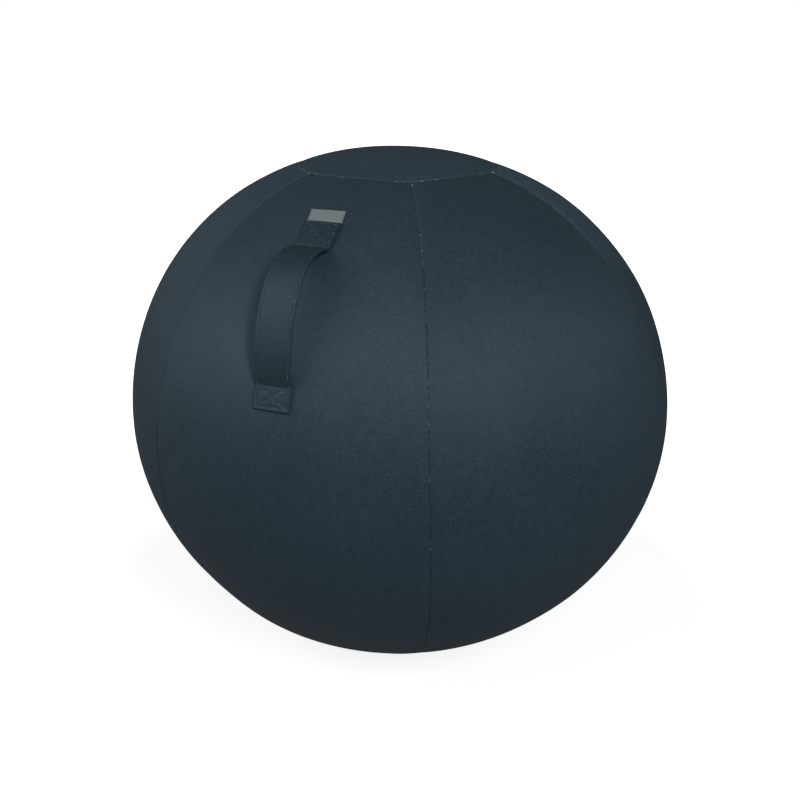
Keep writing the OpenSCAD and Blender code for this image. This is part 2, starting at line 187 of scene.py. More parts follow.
# Distances down the cover from its top, and the radius where its base turns flat
slope_top = oval(slope_a)
cap_len = cap_r * (math.pi / 2 - side_to)
oval_len = cap_len + side_r * (side_to - slope_a)
flat_r = slope_top[0] - (slope_top[1] - DOT_H) / math.tan(BASE_SLOPE)
flat_s = oval_len + (slope_top[0] - flat_r) / math.cos(BASE_SLOPE)
base_s = flat_s - SKIRT_W
top_s = cap_r * (math.pi / 2 - math.acos(TOP_R / cap_r))


def towards(az, rise):
    """The direction at an azimuth from the front and an angle above the horizontal."""
    return Vector((math.sin(az) * math.cos(rise), -math.cos(az) * math.cos(rise), math.sin(rise)))


def around(az, r, z):
    """The place at an azimuth that turns from the front, -Y, towards +X."""
    return Vector((r * math.sin(az), -r * math.cos(az), z))


def length_to(angle):
    """Distance down from the ball's top to where the cover faces `angle` above the horizontal."""
    if angle > side_to:
        return cap_r * (math.pi / 2 - angle)
    return cap_len + side_r * (side_to - angle)


def meridian(s):
    """Radius, height and outward direction of the cover, `s` metres down from its top."""
    if s < oval_len:
        angle = math.pi / 2 - s / cap_r if s < cap_len else side_to - (s - cap_len) / side_r
        r, z = oval(angle)
        return r, z, math.cos(angle), math.sin(angle)
    lean = BASE_SLOPE
    down = s - oval_len
    r = slope_top[0] - down * math.cos(lean)
    z = slope_top[1] - down * math.sin(lean)
    past = s - flat_s
    if past > -FOLD_SOFT:
        k = min(1.0, (past + FOLD_SOFT) / (2 * FOLD_SOFT))
        lean = BASE_SLOPE * (1 - k)
        corner = flat_r + (1 - k) ** 2 * FOLD_SOFT * math.cos(BASE_SLOPE) - k ** 2 * FOLD_SOFT
        r = corner if k < 1 else flat_r - past
        z = DOT_H + (1 - k) ** 2 * FOLD_SOFT * math.sin(BASE_SLOPE)
    return r, z, math.sin(lean), -math.cos(lean)


def smooth(value, low, high):
    """0 below `low`, 1 above `high`, and a soft rise between them."""
    k = max(0.0, min(1.0, (value - low) / (high - low)))
    return k * k * (3 - 2 * k)


def under_handle(p):
    """1 beneath the handle, where the cover keeps its plain shape, falling to 0 around it."""
    return min(1 - smooth(abs(p.x), 0.03, 0.08), 1 - smooth(p.y, -0.10, -0.05), smooth(p.z, 0.30, 0.36))


humps = [(towards(az, rise), height) for az, rise, height in HUMPS]


def swell(p):
    """How far the filled cover stands out from its plain oval at a place."""
    facing = (p - Vector((0, 0, mid_z))).normalized()
    out = SWELL * noise.noise(p / SWELL_PITCH)
    for towards_hump, height in humps:
        out += height * math.exp((facing.dot(towards_hump) - 1) / HUMP_SPREAD)
    return out * smooth(p.z, 0.06, 0.12) * (1 - under_handle(p))


def on_cover(az, s, depth):
    """A place `depth` metres inside the cover, at an azimuth and a distance down from the top."""
    r, z, out_r, out_z = meridian(s)
    depth -= swell(around(az, r, z))
    return around(az, r - depth * out_r, z - depth * out_z)


def out_of_cover(az, s):
    """The direction out of the cover there."""
    _, _, out_r, out_z = meridian(s)
    return around(az, out_r, out_z)


def seam_az(i, s):
    """The azimuth of side seam `i`, which strays sideways from its meridian, as sewn by hand."""
    middle, reach, peak, pitch = WANDER[i % PANELS]
    stray = middle + reach * math.cos(2 * math.pi * (s - peak) / pitch)
    stray *= 1 - smooth(s, base_s - WANDER_FADE_FROM, base_s - WANDER_FADE_TO)
    return SEAM_AZ + i * turn + stray / meridian(s)[0]


def top_edge(az):
    """Where the top panel ends: a circle that some side seams pull outwards."""
    out = 0.0
    for i, pull in enumerate(TOP_PULLS):
        away = (az - SEAM_AZ - i * turn + math.pi) % (2 * math.pi) - math.pi
        out += pull * math.exp(-(away / TOP_PULL_SPREAD) ** 2)
    return top_s + out


def from_top_seam(az, down):
    """The distance from the top of a place `down` metres below the top seam."""
    return top_s + down + (top_edge(az) - top_s) * (1 - smooth(down, 0.0, TOP_PULL_DOWN))


# Meshes
def evenly(start, end, count):
    """Both ends and the places between them, `count` even steps."""
    return [start + (end - start) * k / count for k in range(count + 1)]


def all_round(start, count):
    """Azimuths at an even pitch, once round from `start`."""
    return [start + 2 * math.pi * k / count for k in range(count)]


def steps(width, count, edge=EDGE_STEPS):
    """Distances across a piece: those of `edge` near both of its edges, and `count` steps between them."""
    return list(edge) + evenly(edge[-1], width - edge[-1], count)[1:-1] + [width - d for d in reversed(edge)]


def add_faces(name, points, flats, faces):
    """A mesh from points, their places on the flat cloth in metres, and faces."""
    mesh = bpy.data.meshes.new(name)
    mesh.from_pydata([tuple(p) for p in points], [], faces)
    cloth = mesh.uv_layers.new(name="cloth")
    for loop in mesh.loops:
        cloth.data[loop.index].uv = flats[loop.vertex_index]
    mesh.polygons.foreach_set("use_smooth", [True] * len(mesh.polygons))
    mesh.update()
    return mesh


def shell(name, outer, inner, flats, wrap=False, poles=()):
    """A closed sheet from the rows of its outer and inner face, rows downwards and columns to the right.

    `wrap` joins the last column to the first, and `poles` names the ends that close to a point."""
    cols = len(outer[0])
    points = [p for row in outer + inner for p in row]
    uvs = [f for row in flats for f in row] * 2
    under = len(points) // 2
    index = [list(range(start, start + cols)) + [start] * wrap for start in range(0, under, cols)]
    faces = []
    for above, below in zip(index, index[1:]):
        for a, b, c, d in zip(above, below, below[1:], above[1:]):
            faces += [(a, b, c, d), (under + d, under + c, under + b, under + a)]
    rims = [] if wrap else [([row[0] for row in index], True), ([row[-1] for row in index], False)]
    for end, row, flip in (("top", index[0], False), ("bottom", index[-1], True)):
        if end not in poles:
            rims.append((row, flip))
            continue
        for layer in (0, under):
            ring = [layer + i for i in row[:cols]]
            middle = len(points)
            points.append(sum((points[i] for i in ring), Vector()) / cols)
            uvs.append(tuple(sum(uvs[i][c] for i in ring) / cols for c in (0, 1)))
            for a, b in zip(ring, ring[1:] + ring[:1]):
                faces.append((middle, b, a) if flip == (layer == 0) else (middle, a, b))
    for row, flip in rims:
        for a, b in zip(row, row[1:]):
            faces.append((a, under + a, under + b, b) if flip else (a, b, under + b, under + a))
    return add_faces(name, points, uvs, faces)


def sheet_mesh(name, rows, place, **ends):
    """A closed sheet from rows of entries; `place` gives the outer, inner and flat place of an entry."""
    cells = [[place(*entry) for entry in row] for row in rows]
    outer, inner, flats = ([[cell[k] for cell in row] for row in cells] for k in range(3))
    return shell(name, outer, inner, flats, **ends)


def piece(name, mesh, material, stands_for=()):
    """Puts a finished mesh in the scene as a piece of the ball."""
    obj = bpy.data.objects.new(name, mesh)
    scene.collection.objects.link(obj)
    mesh.materials.clear()
    mesh.materials.append(material)
    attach(obj, "root")
    if stands_for:
        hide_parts(*stands_for)
    return obj


# Node trees
class Value:
    """A node's output that takes part in sums: each operator adds a Math node."""

    def __init__(self, nodes, socket):
        self.nodes = nodes
        self.socket = socket

    def output(self, name):
        """Another output of the same node."""
        return Value(self.nodes, self.socket.node.outputs[name])

    def math(self, operation, *others):
        return self.nodes.node("ShaderNodeMath", {"operation": operation}, dict(enumerate((self, *others))))

    def __add__(self, other):
        return self.math("ADD", other)

    __radd__ = __add__

    def __mul__(self, other):
        return self.math("MULTIPLY", other)

    __rmul__ = __mul__

    def __sub__(self, other):
        return self.math("SUBTRACT", other)

    def __rsub__(self, other):
        return self.nodes.node("ShaderNodeMath", {"operation": "SUBTRACT"}, {0: other, 1: self})

    def __pow__(self, other):
        return self.math("POWER", other)

    def __abs__(self):
        return self.math("ABSOLUTE")


class Nodes:
    """Adds nodes to a tree."""

    def __init__(self, tree):
        self.tree = tree

    def node(self, kind, settings=None, inputs=None, output=0):
        """A new node's output; its settings are made first, then its sockets are set or linked."""
        new = self.tree.nodes.new(kind)
        for key, value in (settings or {}).items():
            setattr(new, key, value)
        for key, value in (inputs or {}).items():
            self.join(new.inputs[key], value)
        return Value(self, new.outputs[output])

    def join(self, socket, value):
        if isinstance(value, Value):
            self.tree.links.new(value.socket, socket)
        elif socket.type == "RGBA":
            socket.default_value = (*value, 1)
        else:
            socket.default_value = value


class Shader(Nodes):
    """One material: its Principled BSDF's own settings, and the nodes that vary it."""

    def __init__(self, name, settings):
        self.material = bpy.data.materials.new(name)
        self.material.use_nodes = True
        super().__init__(self.material.node_tree)
        self.bsdf = self.tree.nodes["Principled BSDF"]
        for socket, value in settings.items():
            self.feed(socket, value)

    def feed(self, name, value):
        self.join(self.bsdf.inputs[name], value)

    def mapped(self, vector, scale):
        return self.node("ShaderNodeMapping", {}, {"Vector": vector, "Scale": scale})

    def cloth(self, across=1, down=1):
        """The place on the flat cloth, in metres or in so many steps to the metre."""
        return self.mapped(self.node("ShaderNodeUVMap", {"uv_map": "cloth"}), (across, down, 1))

    def place(self, scale=1):
        """The place in space, in metres or in so many steps to the metre."""
        return self.mapped(self.node("ShaderNodeTexCoord", output="Object"), (scale, scale, scale))

    def axes(self, vector):
        """The first two coordinates of a place."""
        first = self.node("ShaderNodeSeparateXYZ", {}, {0: vector})
        return first, first.output(1)

    def noise(self, vector, detail=2.0, roughness=0.5):
        return self.node("ShaderNodeTexNoise", {}, {"Vector": vector, "Scale": 1.0, "Detail": detail,
                                                    "Roughness": roughness})

    def chance(self, dimensions, inputs):
        """A random number that stays the same for the same input."""
        return self.node("ShaderNodeTexWhiteNoise", {"noise_dimensions": dimensions}, inputs)

    def between(self, value, low, high, to_low=0.0, to_high=1.0):
        """Maps low..high onto to_low..to_high, with soft ends."""
        inputs = {"Value": value, "From Min": low, "From Max": high, "To Min": to_low, "To Max": to_high}
        return self.node("ShaderNodeMapRange", {"interpolation_type": "SMOOTHSTEP"}, inputs)

    def mixed(self, factor, a, b):
        return self.node("ShaderNodeMix", {"data_type": "RGBA"}, {0: factor, 6: a, 7: b}, output=2)

    def tinted(self, colour, factor):
        """A colour made lighter or darker by a factor that varies."""
        return self.node("ShaderNodeVectorMath", {"operation": "SCALE"}, {0: colour, 3: factor})

    def bump(self, height, distance, strength, more=None):
        inputs = {"Height": height, "Distance": distance, "Strength": strength}
        return self.node("ShaderNodeBump", {}, {**inputs, **(more or {})})


# Finishes
def plain_weave(s, pitch, seed):
    """The relief of a plain weave and the tone of the thread on top, for warp and weft of one pitch."""
    u, v = s.axes(s.cloth(1 / pitch, 1 / pitch))
    over = (u * math.pi).math("SINE") * (v * math.pi).math("SINE")
    warp, weft = (s.chance("1D", {"W": w.math("FLOOR") + start})
                  for w, start in ((u, seed), (v, seed + 57.3)))
    on_top = over.math("GREATER_THAN", 0.0)
    return abs(over) ** 0.5, warp * on_top + weft * (1 - on_top)


def cover_fabric(name, colour, painted_sheen=0.0):
    """Brushed woven polyester. Ribs along the warp spread its sheen sideways, under a brushed pile with
    flecks.

    The last argument is painted sheen: how much lighter the cloth is painted towards the ball's top, where
    its grain is turned, in place of the sheen the lamps give it there."""
    s = Shader(name, {"Specular IOR Level": 0.66, "Specular Tint": (0.58, 0.765, 1.0)})
    across, along = s.axes(s.cloth(2 / RIB_PITCH, 2 / RIB_PITCH))
    from_crest = (across + s.noise(s.cloth(300, 300), 1.0) * 0.8).math("PINGPONG", 1.0)
    rib = (1 - from_crest * from_crest * 0.8) ** 0.5
    pick = ((along + rib * 0.4) * math.pi).math("SINE")
    fleck = s.noise(s.cloth(330, 200), 3.0, 0.62)
    speck = s.noise(s.cloth(560, 420), 0.0)
    streak = s.noise(s.cloth(420, 22))
    cloud = s.noise(s.place(11), 3.0)
    mottle = s.noise(s.cloth(130, 95), 1.0)
    light = s.between(fleck, 0.57, 0.70, 0.0, 0.25)
    dark = s.between(fleck, 0.30, 0.43, 0.23, 0.0)
    dot = s.between(speck, 0.66, 0.74, 0.0, 0.48)
    pit = s.between(speck, 0.25, 0.34, 0.40, 0.0)
    factor = 0.44 + light - dark + dot - pit + streak * 0.20 + mottle * 0.46 + cloud * 0.43
    # Painted sheen: the base colour is painted lighter towards the top
    if painted_sheen:
        _, down = s.axes(s.cloth())
        factor = factor * (1 + s.between(down, -0.33, -0.19) * painted_sheen)
    s.feed("Base Color", s.tinted(colour, factor))
    s.feed("Roughness", 0.43 + fleck * 0.16)
    fuzz = s.noise(s.cloth(2600, 1500), 2.0, 0.7)
    fine = s.bump(rib + pick * 0.05 + fuzz * 0.12, RIB_PITCH * 0.45, 1.0, {"Filter Width": 0.02})
    s.feed("Normal", s.bump(fleck, 0.0007, 0.35, {"Normal": fine}))
    return s.material


def base_cloth():
    """Coated base cloth: a tight weave whose coating fills the hollows, scuffed where it rubs the floor."""
    s = Shader("base_cloth", {"Specular IOR Level": 0.35})
    relief, tone = plain_weave(s, 0.0012, 11.0)
    scuff = s.between(s.noise(s.place(38), 4.0, 0.65), 0.50, 0.72)
    s.feed("Base Color", s.tinted((0.021, 0.029, 0.036), 0.84 + tone * 0.2 + scuff * 0.5))
    s.feed("Roughness", 0.55 + scuff * 0.25)
    s.feed("Normal", s.bump(relief, 0.00018, 0.7))
    return s.material


def thread(name, dark, light, rarity):
    """Twisted sewing thread; a random pick for each stitch paints a few stitches light as painted glints,
    and the higher `rarity`, the fewer are light.
    """
    s = Shader(name, {"Roughness": 0.62, "Specular IOR Level": 0.35, "Specular Tint": (0.69, 0.84, 1.0)})
    glint_pick = s.node("ShaderNodeAttribute", {"attribute_name": "glint_pick"}, output="Fac")
    twist = s.noise(s.place(2300), 1.0)
    # Painted highlight: the light colour paints glints on the few stitches that the pick chooses
    s.feed("Base Color", s.tinted(s.mixed(glint_pick ** rarity, dark, light), 0.8 + twist * 0.4))
    s.feed("Normal", s.bump(twist, 0.0001, 0.5))
    return s.material


def zip_tape_cloth():
    """Herringbone tape."""
    s = Shader("zip_tape_cloth", {"Roughness": 0.8, "Specular IOR Level": 0.3})
    u, v = s.axes(s.cloth())
    side = (v * 520.0).math("PINGPONG", 1.0)
    ridge = ((u * 1300.0 + side * 1.6) * math.pi).math("SINE") * 0.5 + 0.5
    s.feed("Base Color", s.tinted((0.016, 0.020, 0.024), 0.75 + ridge * 0.5))
    s.feed("Normal", s.bump(ridge, 0.0002, 0.8))
    return s.material


def casing_cloth():
    """Plain nylon of the weight ring's casing."""
    s = Shader("casing_cloth", {"Roughness": 0.55, "Specular IOR Level": 0.4})
    relief, tone = plain_weave(s, 0.0006, 5.0)
    s.feed("Base Color", s.tinted((0.018, 0.022, 0.025), 0.8 + tone * 0.4))
    s.feed("Normal", s.bump(relief, 0.0001, 0.6))
    return s.material


def label_cloth():
    """Woven label: fine satin ribs across, a darker selvedge at both ends and lighter folds."""
    s = Shader("label_cloth", {"Roughness": 0.55, "Specular IOR Level": 0.4})
    u, v = s.axes(s.cloth())
    rib, cross = ((w * (2 * math.pi / pitch)).math("SINE") * 0.5 + 0.5
                  for w, pitch in ((v, 0.0005), (u, 0.0007)))
    selvedge = s.between(abs(u), LABEL_W / 2 - 0.0026, LABEL_W / 2 - 0.0016)
    fold = s.between(abs(v), LABEL_H / 2 - 0.0022, LABEL_H / 2 - 0.0010)
    worn = s.noise(s.cloth(500, 500), 3.0)
    tone = 0.80 + rib * 0.12 + cross * 0.08 + worn * 0.16 - selvedge * 0.22 + fold * 0.22
    s.feed("Base Color", s.tinted((0.225, 0.258, 0.275), tone))
    s.feed("Normal", s.bump(rib * 0.6 + cross * 0.4, 0.00015, 0.6))
    return s.material


def moulded(name, colour, roughness, grain, wear):
    """Moulded plastic or rubber with a fine grain, a little polished or dusty in places."""
    s = Shader(name, {})
    fine = s.noise(s.place(grain), 3.0, 0.6)
    patch = s.noise(s.place(60), 3.0)
    s.feed("Base Color", s.tinted(colour, 0.85 + patch * wear * 2))
    s.feed("Roughness", roughness - 0.08 + patch * 0.16)
    s.feed("Normal", s.bump(fine, 0.00012, 0.35))
    return s.material


def cast_metal():
    """Die-cast zip metal under a thin satin lacquer, rubbed brighter in places."""
    s = Shader("cast_metal", {"Metallic": 1.0})
    rub = s.between(s.noise(s.place(210), 3.0), 0.48, 0.66)
    s.feed("Base Color", s.mixed(rub, (0.26, 0.27, 0.29), (0.46, 0.47, 0.49)))
    s.feed("Roughness", 0.42 - rub * 0.14)
    s.feed("Normal", s.bump(s.noise(s.place(1500), 3.0), 0.00006, 0.4))
    return s.material


def sand():
    """Dry sand, grain by grain."""
    s = Shader("dry_sand", {"Roughness": 0.9})
    grains = s.node("ShaderNodeTexVoronoi", {}, {"Vector": s.place(), "Scale": 1400.0})
    tone = s.chance("3D", {"Vector": grains.output("Position")})
    s.feed("Base Color", s.mixed(tone, (0.36, 0.25, 0.13), (0.58, 0.47, 0.29)))
    s.feed("Normal", s.bump(grains, 0.0004, 0.7))
    return s.material


COVER_BLUE = (0.0201, 0.0400, 0.0542)
# Painted sheen on each side panel and on the top panel: how much lighter each is painted towards the ball's
# top
PANEL_PAINTED_SHEEN = (0.0, 0.85, 0.25, 0.10, 0.42, 0.14)
TOP_PAINTED_SHEEN = 0.30
backing_cloth = cover_fabric("cover_cloth", COVER_BLUE)
panel_cloths = [cover_fabric(f"panel_cloth_{i + 1}", COVER_BLUE, painted_sheen) for i, painted_sheen in enumerate(PANEL_PAINTED_SHEEN)]
top_panel_cloth = cover_fabric("top_panel_cloth", COVER_BLUE, TOP_PAINTED_SHEEN)
# The strap's cloth is the cover's cloth painted about a fifth darker: painted shading for the strap, which
# partly faces down
strap_cloth = cover_fabric("strap_cloth", (0.0165, 0.0320, 0.0440))
# The last colour of each thread is a painted glint, for its few light stitches
seam_thread = thread("seam_thread", (0.018, 0.030, 0.040), (0.44, 0.49, 0.52), 5.0)
# The top seam and the upper side seams use the same thread as lower down, painted lighter: painted highlight
# where these seams catch the light
painted_highlight_thread = thread("painted_highlight_thread", (0.058, 0.090, 0.108), (0.44, 0.50, 0.54), 6.0)
strap_thread = thread("strap_thread", (0.020, 0.035, 0.046), (0.20, 0.24, 0.27), 4.0)


# Seams: how the cover is drawn in near them
def gather_at(seam, along):
    """How strongly a seam draws the cover in at a distance along it, from 0 to 1."""
    fine = noise.noise(Vector((along / GATHER_PITCH, seam * 3.7, 1.3)))
    broad = noise.noise(Vector((along / (5 * GATHER_PITCH), seam * 5.1, 7.9)))
    return max(0.0, 0.35 + 0.9 * fine) * (0.6 + 0.7 * broad)


def drawn_in(d, seam, along):
    """How far a seam draws the cover in, `d` metres away from it."""
    if d > DRAWN_W:
        return 0.0
    dip = SEAM_DIP * math.exp(-d / SEAM_DIP_W)
    return dip + GATHER * gather_at(seam, along) * math.exp(-d / (0.6 * GATHER_PITCH))


def rounded(d, r):
    """Depth of a round edge of radius `r`, `d` metres in from where it ends."""
    return 0.0 if d > r else r - math.sqrt(max(0.0, r * r - (r - d) ** 2))


# The cover's panels
zip_r = meridian(base_s)[0]
zip_start = SEAM_AZ + ZIP_PANELS[0] * turn
zip_end = SEAM_AZ + (ZIP_PANELS[-1] + 1) * turn


def side_panel_mesh(i):
    on_zip = i in ZIP_PANELS
    end = base_s - (WINDOW_W / 2 if on_zip else 0)
    fold_r = COVER_T / 2
    length = end - top_s
    rows = []
    for down in steps(length, round((length - 2 * EDGE_STEPS[-1]) / ROW_PITCH)):
        start = seam_az(i, top_s + down)
        r = meridian(top_s + down)[0]
        width = (seam_az(i + 1, top_s + down) - start) * r
        rows.append([(start + left / r, down, left, width - left) for left in steps(width, SIDE_COLUMNS)])

    def place(az, down, left, right):
        s = from_top_seam(az, down)
        to_end = end - s
        depth = drawn_in(left, i, s) + drawn_in(right, (i + 1) % PANELS, s)
        depth += drawn_in(down, TOP_SEAM, az * TOP_R)
        if not on_zip:
            depth += drawn_in(to_end, BASE_SEAM, az * zip_r)
        edge = max(rounded(d, SEAM_TURN_R) for d in (left, right, down))
        at_end = rounded(to_end, fold_r if on_zip else SEAM_TURN_R)
        below = COVER_T + (ALLOWANCE_T if min(left, right, down) < ALLOWANCE_W else 0.0)
        if on_zip and to_end < fold_r:
            below -= at_end
        return (on_cover(az, s, depth + max(edge, at_end)), on_cover(az, s, max(depth, 0.0) + below),
                ((left - right) / 2, -s))

    return sheet_mesh(f"side_cloth_{i + 1}", rows, place)


def top_panel_mesh():
    inside = top_s - EDGE_STEPS[-1]
    downs = [0.0015] + [TOP_ROW_PITCH * k for k in range(1, 18) if TOP_ROW_PITCH * k < inside]
    downs += [top_s - d for d in reversed(EDGE_STEPS)]
    azimuths = all_round(SEAM_AZ, TOP_COLUMNS)

    def place(az, s):
        to_edge = top_s - s
        along = s + (top_edge(az) - top_s) * smooth(s, 0.03, inside)
        depth = drawn_in(to_edge, TOP_SEAM, az * TOP_R)
        lap = ALLOWANCE_T if to_edge < ALLOWANCE_W else 0.0
        return (on_cover(az, along, depth + rounded(to_edge, SEAM_TURN_R)),
                on_cover(az, along, max(depth, 0.0) + COVER_T + lap),
                (s * math.sin(az - TOP_GRAIN), -s * math.cos(az - TOP_GRAIN)))

    rows = [[(az, s) for az in azimuths] for s in downs]
    return sheet_mesh("top_cloth", rows, place, wrap=True, poles=("top",))


def window_share(az):
    """1 along the zip's opening, 0 elsewhere, with a short round corner at both ends."""
    past_start = (az - zip_start) % (2 * math.pi)
    if past_start > zip_end - zip_start:
        return 0.0
    inside = min(past_start, (zip_end - az) % (2 * math.pi))
    k = min(1.0, inside * zip_r / WINDOW_CORNER_R)
    return math.sqrt(1 - (1 - k) ** 2)


def base_edge(az):
    """Where the base panel starts: at the base seam, or at the lower edge of the zip's opening."""
    return base_s + WINDOW_W / 2 * window_share(az)


def base_panel_mesh():
    past_fold = (-0.004, -0.002, 0.0, 0.002, 0.004, 0.008)
    slope_rows, flat_rows = 5, 14
    middle = 0.003
    azimuths = all_round(zip_start, BASE_COLUMNS)
    rows = [[(az, base_edge(az) + to_edge, to_edge) for az in azimuths] for to_edge in EDGE_STEPS]
    for k in range(1, slope_rows):
        row = []
        for az in azimuths:
            near = base_edge(az) + EDGE_STEPS[-1]
            s = near + (flat_s + past_fold[0] - near) * k / slope_rows
            row.append((az, s, s - base_edge(az)))
        rows.append(row)
    downs = [flat_s + past for past in past_fold]
    downs += evenly(downs[-1], flat_s + flat_r - middle, flat_rows)[1:]
    rows += [[(az, s, SKIRT_W) for az in azimuths] for s in downs]

    def place(az, s, to_edge):
        share = window_share(az)
        depth = drawn_in(to_edge, BASE_SEAM, az * zip_r) * (1 - share)
        seam = rounded(to_edge, SEAM_TURN_R) * (1 - share)
        fold = rounded(to_edge, COVER_T / 2) * share
        # The ring rests on the cloth, and the plug inside the ring stays clear of it
        touch = TOUCH if meridian(s)[0] > RING_INNER_R - PLUG_CLEAR else -TOUCH
        r = SKIRT_W + flat_r - (s - base_s)
        return (on_cover(az, s, depth + seam + fold), on_cover(az, s, depth + COVER_T - fold + touch),
                (r * math.sin(az), -r * math.cos(az)))

    return sheet_mesh("base_cloth_sheet", rows, place, wrap=True, poles=("bottom",))


def tape_mesh(name, from_up, to_up):
    """A strip of zip tape between two distances up the slope from the middle of the zip."""
    columns, rows = 240, 8
    thin = 0.0002
    tuck = TAPE_TUCK / zip_r
    azimuths = evenly(zip_start - tuck, zip_end + tuck, columns)
    thinned = [thin] + [0.0] * (rows - 1) + [thin]

    def place(az, up, edge):
        s = base_s - up
        return (on_cover(az, s, TAPE_DEPTH + edge), on_cover(az, s, TAPE_DEPTH + TAPE_T - edge),
                (az * zip_r, abs(up) - TAPE_CORD))

    ups = zip(evenly(to_up, from_up, rows), thinned)
    return sheet_mesh(name, [[(az, up, edge) for az in azimuths] for up, edge in ups], place)


# Stitches: geometry nodes lay short threads along a line, each turned to the cloth
def stitch_tree():
    """The tree, and the identifiers of its inputs by name."""
    tree = bpy.data.node_groups.new("stitches", "GeometryNodeTree")
    sockets = {}
    for name, kind in (("Line", "Geometry"), ("Pitch", "Float"), ("Length", "Float"), ("Radius", "Float"),
                       ("Arch", "Float"), ("Thread", "Material"), ("Seed", "Int")):
        item = tree.interface.new_socket(name, in_out="INPUT", socket_type="NodeSocket" + kind)
        sockets[name] = item.identifier
    tree.interface.new_socket("Stitches", in_out="OUTPUT", socket_type="NodeSocketGeometry")
    n = Nodes(tree)
    given = tree.nodes.new("NodeGroupInput")
    line, pitch, length, radius, arch, material, seed = (Value(n, given.outputs[name]) for name in sockets)

    def chance(low, high, more):
        """A random number for each stitch."""
        return n.node("FunctionNodeRandomValue", {"data_type": "FLOAT"},
                      {2: low, 3: high, "Seed": seed + more}, output=1)

    line = n.node("GeometryNodeMeshToCurve", {}, {"Mesh": line})
    line = n.node("GeometryNodeResampleCurve", {"mode": "LENGTH"}, {"Curve": line, "Length": pitch})
    start, end = (n.node("ShaderNodeCombineXYZ", {}, {"X": length * side, "Z": arch * -1.0})
                  for side in (-0.5, 0.5))
    middle = n.node("ShaderNodeCombineXYZ", {}, {"Z": arch})
    bow = n.node("GeometryNodeCurveQuadraticBezier", {},
                 {"Resolution": 4, "Start": start, "Middle": middle, "End": end})
    section = n.node("GeometryNodeCurvePrimitiveCircle", {}, {"Resolution": 6, "Radius": radius})
    bow = n.node("GeometryNodeCurveToMesh", {}, {"Curve": bow, "Profile Curve": section, "Fill Caps": True})
    bow = n.node("GeometryNodeSetShadeSmooth", {}, {"Geometry": bow})
    out = n.node("GeometryNodeInputNamedAttribute", {"data_type": "FLOAT_VECTOR"}, {"Name": "out"})
    facing = n.node("FunctionNodeAxesToRotation", {"primary_axis": "Z", "secondary_axis": "X"},
                    {"Primary Axis": out, "Secondary Axis": n.node("GeometryNodeInputTangent")})
    laid = n.node("GeometryNodeInstanceOnPoints", {}, {"Points": line, "Instance": bow, "Rotation": facing})
    sway = n.node("ShaderNodeCombineXYZ", {}, {"Z": chance(-0.16, 0.16, 1)})
    laid = n.node("GeometryNodeRotateInstances", {}, {"Instances": laid, "Rotation": sway})
    # A random pick for each stitch, by which the thread's material paints a few stitches as light glints
    laid = n.node("GeometryNodeStoreNamedAttribute", {"data_type": "FLOAT", "domain": "INSTANCE"},
                  {"Geometry": laid, "Name": "glint_pick", "Value": chance(0.0, 1.0, 2)})
    laid = n.node("GeometryNodeRealizeInstances", {}, {"Geometry": laid})
    laid = n.node("GeometryNodeSetMaterial", {}, {"Geometry": laid, "Material": material})
    n.join(tree.nodes.new("NodeGroupOutput").inputs[0], laid)
    return tree, sockets


stitches, stitch_sockets = stitch_tree()


def sewn(name, lines, material, seed, pitch=0.0034, length=0.0028, radius=0.00026, arch=0.0003):
    """Stitches along lines; a line is a list of places, each with the direction out of the cloth."""
    edges = []
    start = 0
    for line in lines:
        edges += [(start + k, start + k + 1) for k in range(len(line) - 1)]
        start += len(line)
    mesh = bpy.data.meshes.new(name)
    mesh.from_pydata([tuple(p) for line in lines for p, _ in line], edges, [])
    out = mesh.attributes.new("out", "FLOAT_VECTOR", "POINT")
    out.data.foreach_set("vector", [c for line in lines for _, n in line for c in n])
    guide = bpy.data.objects.new(name + "_line", mesh)
    scene.collection.objects.link(guide)
    layer = guide.modifiers.new("stitches", "NODES")
    layer.node_group = stitches
    for key, value in (("Pitch", pitch), ("Length", length), ("Radius", radius), ("Arch", arch),
                       ("Thread", material), ("Seed", seed)):
        layer[stitch_sockets[key]] = value
    done = guide.evaluated_get(bpy.context.evaluated_depsgraph_get())
    thread_mesh = bpy.data.meshes.new_from_object(done)
    thread_mesh.name = name
    bpy.data.objects.remove(guide)
    bpy.data.meshes.remove(mesh)
    piece(name, thread_mesh, material)


def cover_line(places):
    """Places on the cover from azimuths, distances down and depths, for stitches."""
    return [(on_cover(az, s, depth), out_of_cover(az, s)) for az, s, depth in places]


# The handle strap's middle line, seen from the side
def resampled(points, pitch):
    """The same line with its points at an even pitch."""
    lengths = [0.0]
    for a, b in zip(points, points[1:]):
        lengths.append(lengths[-1] + math.dist(a[:2], b[:2]))
    result, j = [], 0
    for want in evenly(0.0, lengths[-1], round(lengths[-1] / pitch)):
        while j < len(lengths) - 2 and lengths[j + 1] < want:
            j += 1
        k = (want - lengths[j]) / (lengths[j + 1] - lengths[j])
        result.append(tuple(a + (b - a) * k for a, b in zip(points[j], points[j + 1])))
    return result


def softened(points, reach):
    """The same line with its corners rounded over `reach` points."""
    result = []
    for i in range(len(points)):
        n = min(reach, i, len(points) - 1 - i)
        near = points[i - n:i + n + 1]
        result.append(tuple(sum(p[c] for p in near) / len(near) for c in range(3)))
    return result


